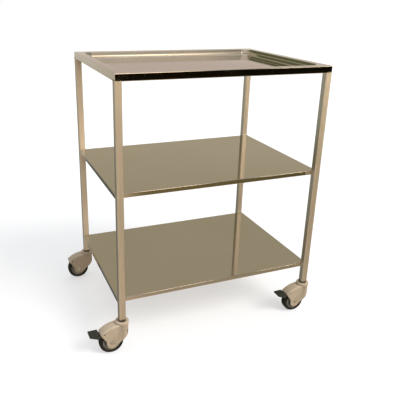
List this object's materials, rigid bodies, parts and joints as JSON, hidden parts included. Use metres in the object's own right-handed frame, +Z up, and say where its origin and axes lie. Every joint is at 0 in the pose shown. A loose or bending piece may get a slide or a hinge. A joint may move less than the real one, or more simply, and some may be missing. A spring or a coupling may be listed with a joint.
{
  "type": "instrument cart",
  "caption": "Stainless steel clinic cart with a recessed top tray and flat open shelves between square tube posts, on hooded swivel castors with brake pedals at the front.",
  "frame": {"origin": "on the floor, under the middle of the rectangle that the cart covers at rest, castors and pedals included", "axes": "+X to the right along the long side, +Y from the front to the back, +Z up"},
  "size_m": [0.775, 0.522, 0.84],
  "materials": {
    "stainless": "bright satin stainless sheet",
    "stainless_tube": "fine lengthwise brushed stainless tube",
    "plated_steel": "dull zinc plate",
    "bearing_steel": "ground and greased",
    "hood_plastic": "fine moulded texture",
    "rim_plastic": "moulded",
    "tyre_rubber": "smooth rubber tread",
    "pedal_plastic": "fine moulded texture",
    "insert_plastic": "moulded",
    "bush_plastic": "plain nylon"
  },
  "bodies": {
    "cart_frame": {"top_tray": "stainless", "middle_shelf": "stainless", "lower_shelf": "stainless", "tray_stiffener": "stainless", "middle_stiffener": "stainless", "lower_stiffener": "stainless", "post_front_left": "stainless_tube", "post_front_right": "stainless_tube", "post_rear_left": "stainless_tube", "post_rear_right": "stainless_tube", "tube_insert_front_left": "insert_plastic", "castor_stem_front_left": "plated_steel", "upper_race_front_left": "bearing_steel", "tube_insert_front_right": "insert_plastic", "castor_stem_front_right": "plated_steel", "upper_race_front_right": "bearing_steel", "tube_insert_rear_left": "insert_plastic", "castor_stem_rear_left": "plated_steel", "upper_race_rear_left": "bearing_steel", "tube_insert_rear_right": "insert_plastic", "castor_stem_rear_right": "plated_steel", "upper_race_rear_right": "bearing_steel"},
    "castor_front_left": {"castor_hood_front_left": "hood_plastic", "lower_race_front_left": "bearing_steel", "bearing_balls_front_left": "bearing_steel", "wheel_axle_front_left": "plated_steel", "pedal_pin_front_left": "plated_steel"},
    "wheel_front_left": {"tyre_front_left": "tyre_rubber", "wheel_rim_front_left": "rim_plastic", "wheel_bush_front_left": "bush_plastic"},
    "pedal_front_left": {"brake_pedal_front_left": "pedal_plastic", "brake_shoe_front_left": "plated_steel"},
    "castor_front_right": {"castor_hood_front_right": "hood_plastic", "lower_race_front_right": "bearing_steel", "bearing_balls_front_right": "bearing_steel", "wheel_axle_front_right": "plated_steel", "pedal_pin_front_right": "plated_steel"},
    "wheel_front_right": {"tyre_front_right": "tyre_rubber", "wheel_rim_front_right": "rim_plastic", "wheel_bush_front_right": "bush_plastic"},
    "pedal_front_right": {"brake_pedal_front_right": "pedal_plastic", "brake_shoe_front_right": "plated_steel"},
    "castor_rear_left": {"castor_hood_rear_left": "hood_plastic", "lower_race_rear_left": "bearing_steel", "bearing_balls_rear_left": "bearing_steel", "wheel_axle_rear_left": "plated_steel"},
    "wheel_rear_left": {"tyre_rear_left": "tyre_rubber", "wheel_rim_rear_left": "rim_plastic", "wheel_bush_rear_left": "bush_plastic"},
    "castor_rear_right": {"castor_hood_rear_right": "hood_plastic", "lower_race_rear_right": "bearing_steel", "bearing_balls_rear_right": "bearing_steel", "wheel_axle_rear_right": "plated_steel"},
    "wheel_rear_right": {"tyre_rear_right": "tyre_rubber", "wheel_rim_rear_right": "rim_plastic", "wheel_bush_rear_right": "bush_plastic"}
  },
  "joints": [
    {"name": "swivel_front_left", "type": "hinge", "parent": "cart_frame", "child": "castor_front_left", "pos_m": [-0.2835, -0.24, 0.09], "axis": [0, 0, 1], "continuous": true},
    {"name": "wheel_spin_front_left", "type": "hinge", "parent": "castor_front_left", "child": "wheel_front_left", "pos_m": [-0.3195, -0.24, 0.0375], "axis": [0, 1, 0], "continuous": true},
    {"name": "brake_front_left", "type": "hinge", "parent": "castor_front_left", "child": "pedal_front_left", "pos_m": [-0.3425, -0.24, 0.0722], "axis": [0, -1, 0], "range_deg": [0, 9]},
    {"name": "swivel_front_right", "type": "hinge", "parent": "cart_frame", "child": "castor_front_right", "pos_m": [0.3665, -0.24, 0.09], "axis": [0, 0, 1], "continuous": true},
    {"name": "wheel_spin_front_right", "type": "hinge", "parent": "castor_front_right", "child": "wheel_front_right", "pos_m": [0.3305, -0.24, 0.0375], "axis": [0, 1, 0], "continuous": true},
    {"name": "brake_front_right", "type": "hinge", "parent": "castor_front_right", "child": "pedal_front_right", "pos_m": [0.3075, -0.24, 0.0722], "axis": [0, -1, 0], "range_deg": [0, 9]},
    {"name": "swivel_rear_left", "type": "hinge", "parent": "cart_frame", "child": "castor_rear_left", "pos_m": [-0.2835, 0.24, 0.09], "axis": [0, 0, 1], "continuous": true},
    {"name": "wheel_spin_rear_left", "type": "hinge", "parent": "castor_rear_left", "child": "wheel_rear_left", "pos_m": [-0.3195, 0.24, 0.0375], "axis": [0, 1, 0], "continuous": true},
    {"name": "swivel_rear_right", "type": "hinge", "parent": "cart_frame", "child": "castor_rear_right", "pos_m": [0.3665, 0.24, 0.09], "axis": [0, 0, 1], "continuous": true},
    {"name": "wheel_spin_rear_right", "type": "hinge", "parent": "castor_rear_right", "child": "wheel_rear_right", "pos_m": [0.3305, 0.24, 0.0375], "axis": [0, 1, 0], "continuous": true}
  ]
}
